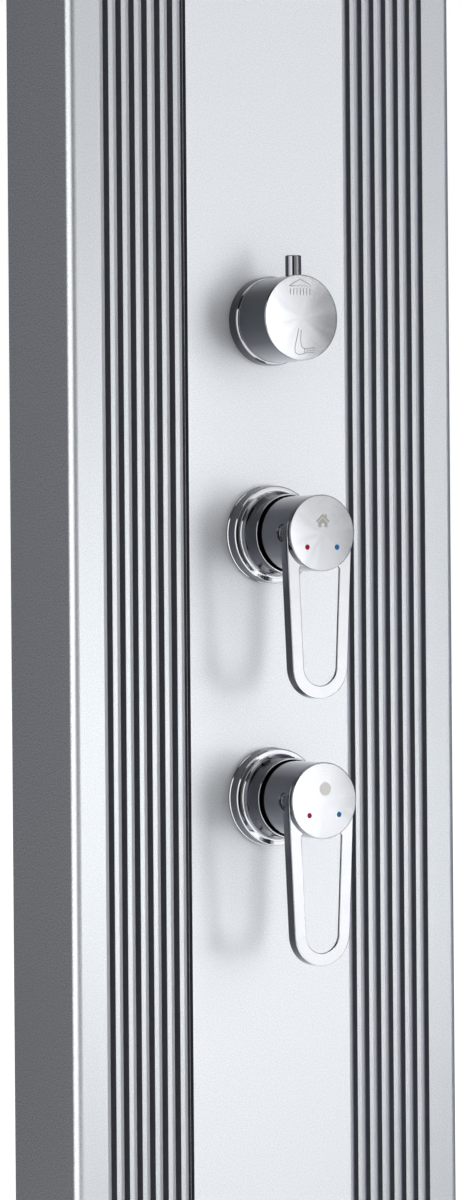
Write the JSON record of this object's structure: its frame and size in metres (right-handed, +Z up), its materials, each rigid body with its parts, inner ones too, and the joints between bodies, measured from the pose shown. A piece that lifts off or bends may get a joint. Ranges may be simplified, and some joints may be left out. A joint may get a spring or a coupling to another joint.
{
  "type": "outdoor shower column",
  "caption": "Free-standing outdoor shower column in satin aluminium with fluted bands, chromed lever mixers, a diverter knob, an overhead rain head and a low foot spout.",
  "frame": {"origin": "on the floor, at the centre of the four anchor holes of the base plate", "axes": "+Z up along the column, -Y out of the front face, +X to the right of someone facing the shower's front"},
  "size_m": [0.33, 0.595, 2.12],
  "materials": {
    "satin_aluminium": "satin anodised",
    "grey_cap": "matte",
    "galvanised_steel": "satin",
    "screw_steel": "satin",
    "chrome": "polished",
    "satin_chrome": "satin",
    "brass": "machined",
    "black_plastic": "matte",
    "white_plastic": "matte",
    "plated_plastic": "chrome plated",
    "rubber": "matte",
    "black_tank": "matte",
    "copper_pipe": "drawn tube"
  },
  "bodies": {
    "column": {"arm_flange": "chrome", "base_plate": "galvanised_steel", "bracket_screws": "screw_steel", "centre_panel": "satin_aluminium", "cold_inlet": "brass", "cold_pipe": "copper_pipe", "diverter_body": "brass", "diverter_ring": "chrome", "drop_pipe": "copper_pipe", "fixing_nuts": "brass", "foot_brackets": "galvanised_steel", "foot_spout": "chrome", "foot_spout_flange": "chrome", "foot_spout_outlet": "chrome", "hot_inlet": "brass", "hot_pipe": "copper_pipe", "house_cartridge": "white_plastic", "house_cartridge_nut": "black_plastic", "house_escutcheon": "chrome", "house_mixer_body": "brass", "left_profile": "satin_aluminium", "mixed_water_pipes": "copper_pipe", "panel_gaskets": "rubber", "panel_screws": "screw_steel", "rear_panel": "satin_aluminium", "rear_panel_screws": "screw_steel", "right_profile": "satin_aluminium", "riser_pipe": "copper_pipe", "shower_arm": "chrome", "solar_cartridge": "white_plastic", "solar_cartridge_nut": "black_plastic", "solar_escutcheon": "chrome", "solar_mixer_body": "brass", "solar_pipe": "copper_pipe", "solar_tank": "black_tank", "tank_bracket_screws": "screw_steel", "tank_brackets": "galvanised_steel", "top_cap": "grey_cap", "top_cap_screws": "screw_steel"},
    "diverter": {"diverter_spindle": "brass", "diverter_knob": "satin_chrome", "diverter_pin": "chrome", "diverter_grub_screw": "screw_steel"},
    "head_swivel": {"ball_stud": "chrome"},
    "head": {"head_nut": "chrome", "shower_head": "plated_plastic", "spray_face": "white_plastic", "spray_nozzles": "rubber"},
    "house_swivel": {"house_stem_carrier": "white_plastic", "house_pivot_pin": "screw_steel"},
    "house_handle": {"house_stem": "screw_steel", "house_lever": "chrome", "house_lever_cap": "satin_chrome", "house_grub_screw": "screw_steel"},
    "solar_swivel": {"solar_stem_carrier": "white_plastic", "solar_pivot_pin": "screw_steel"},
    "solar_handle": {"solar_stem": "screw_steel", "solar_lever": "chrome", "solar_lever_cap": "satin_chrome", "solar_grub_screw": "screw_steel"}
  },
  "joints": [
    {"name": "house_temperature", "type": "hinge", "parent": "column", "child": "house_swivel", "pos_m": [0, -0.071, 1.1634], "axis": [0, -1, 0], "range_deg": [-45, 45]},
    {"name": "house_flow", "type": "hinge", "parent": "house_swivel", "child": "house_handle", "pos_m": [0, -0.071, 1.1634], "axis": [-1, 0, 0], "range_deg": [0, 20]},
    {"name": "solar_temperature", "type": "hinge", "parent": "column", "child": "solar_swivel", "pos_m": [0, -0.071, 1], "axis": [0, -1, 0], "range_deg": [-45, 45]},
    {"name": "solar_flow", "type": "hinge", "parent": "solar_swivel", "child": "solar_handle", "pos_m": [0, -0.071, 1], "axis": [-1, 0, 0], "range_deg": [0, 20]},
    {"name": "diverter_turn", "type": "hinge", "parent": "column", "child": "diverter", "pos_m": [0, -0.04, 1.2963], "axis": [0, 1, 0], "range_deg": [0, 180]},
    {"name": "head_turn", "type": "hinge", "parent": "column", "child": "head_swivel", "pos_m": [0, -0.37, 1.9277], "axis": [0, 0, 1], "continuous": true},
    {"name": "head_tilt", "type": "hinge", "parent": "head_swivel", "child": "head", "pos_m": [0, -0.37, 1.9277], "axis": [1, 0, 0], "range_deg": [-15, 15]}
  ]
}
